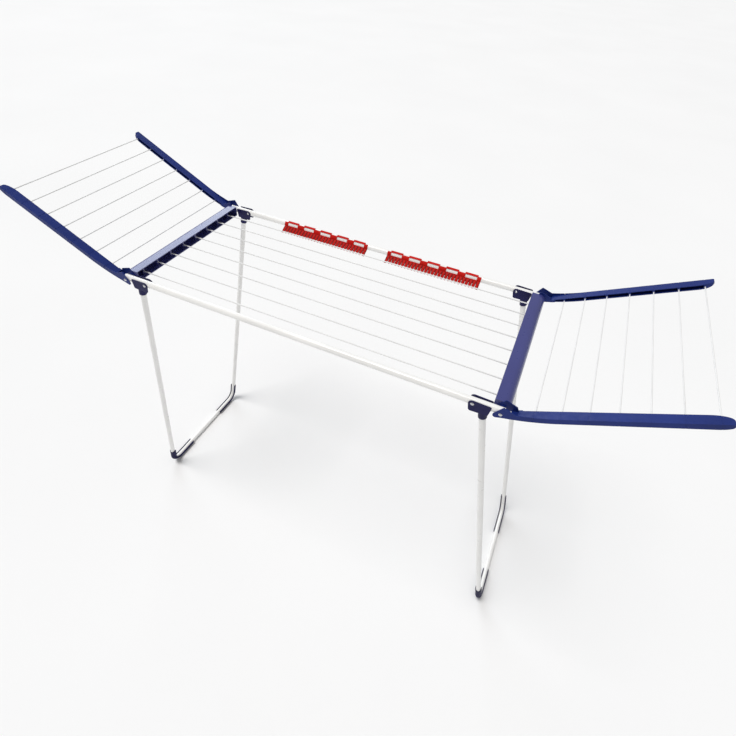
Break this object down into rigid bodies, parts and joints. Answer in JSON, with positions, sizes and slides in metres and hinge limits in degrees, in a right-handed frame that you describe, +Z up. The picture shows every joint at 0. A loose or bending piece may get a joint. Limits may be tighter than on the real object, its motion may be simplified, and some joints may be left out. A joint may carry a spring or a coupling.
{
  "type": "folding clothes drying rack",
  "caption": "Free-standing clothes drying rack with wire-strung top, two raised hinged wings, two folding U-shaped legs and two red peg bars.",
  "frame": {"origin": "on the floor, under the middle of the rack", "axes": "+X along the rack towards the right wing, +Y from the front side tube to the back one, +Z up"},
  "size_m": [1.963, 0.5638, 1.3031],
  "materials": {
    "white_tube": "gloss",
    "white_wire": "gloss",
    "arm_plastic": "satin",
    "bar_plastic": "gloss",
    "dark_plastic": "satin",
    "red_plastic": "gloss",
    "rivet_steel": "satin"
  },
  "bodies": {
    "frame": {"side_tube_front": "white_tube", "side_tube_back": "white_tube", "tube_plugs_left": "dark_plastic", "tube_plugs_right": "dark_plastic", "crossbar_left": "bar_plastic", "crossbar_right": "bar_plastic", "centre_wire_1": "white_wire", "centre_wire_2": "white_wire", "centre_wire_3": "white_wire", "centre_wire_4": "white_wire", "centre_wire_5": "white_wire", "centre_wire_6": "white_wire", "centre_wire_7": "white_wire", "centre_wire_8": "white_wire", "wing_rivets_left": "rivet_steel", "wing_rivets_right": "rivet_steel", "leg_rivets_left": "rivet_steel", "leg_rivets_right": "rivet_steel"},
    "left_leg": {"left_leg_tube": "white_tube", "left_connector_front": "dark_plastic", "left_connector_back": "dark_plastic", "left_foot_front": "dark_plastic", "left_foot_back": "dark_plastic"},
    "right_leg": {"right_leg_tube": "white_tube", "right_connector_front": "dark_plastic", "right_connector_back": "dark_plastic", "right_foot_front": "dark_plastic", "right_foot_back": "dark_plastic"},
    "left_wing": {"left_arm_front": "arm_plastic", "left_arm_back": "arm_plastic", "left_wing_wire_1": "white_wire", "left_wing_wire_2": "white_wire", "left_wing_wire_3": "white_wire", "left_wing_wire_4": "white_wire", "left_wing_wire_5": "white_wire", "left_wing_wire_6": "white_wire", "left_wing_wire_7": "white_wire"},
    "right_wing": {"right_arm_front": "arm_plastic", "right_arm_back": "arm_plastic", "right_wing_wire_1": "white_wire", "right_wing_wire_2": "white_wire", "right_wing_wire_3": "white_wire", "right_wing_wire_4": "white_wire", "right_wing_wire_5": "white_wire", "right_wing_wire_6": "white_wire", "right_wing_wire_7": "white_wire"},
    "left_peg_bar": {"peg_bar_left": "red_plastic"},
    "right_peg_bar": {"peg_bar_right": "red_plastic"}
  },
  "joints": [
    {"name": "left_wing_hinge", "type": "hinge", "parent": "frame", "child": "left_wing", "pos_m": [-0.5735, 0, 1.112], "axis": [0, 1, 0], "range_deg": [0, 152.3]},
    {"name": "right_wing_hinge", "type": "hinge", "parent": "frame", "child": "right_wing", "pos_m": [0.5735, 0, 1.112], "axis": [0, -1, 0], "range_deg": [0, 152.3]},
    {"name": "left_leg_hinge", "type": "hinge", "parent": "frame", "child": "left_leg", "pos_m": [-0.5035, 0, 1.112], "axis": [0, -1, 0], "range_deg": [0, 95.7]},
    {"name": "right_leg_hinge", "type": "hinge", "parent": "frame", "child": "right_leg", "pos_m": [0.5035, 0, 1.112], "axis": [0, 1, 0], "range_deg": [0, 101.4]},
    {"name": "left_peg_slide", "type": "slide", "parent": "frame", "child": "left_peg_bar", "axis": [1, 0, 0], "range_m": [-0.11, 0.03]},
    {"name": "right_peg_slide", "type": "slide", "parent": "frame", "child": "right_peg_bar", "axis": [1, 0, 0], "range_m": [-0.03, 0.07]}
  ]
}
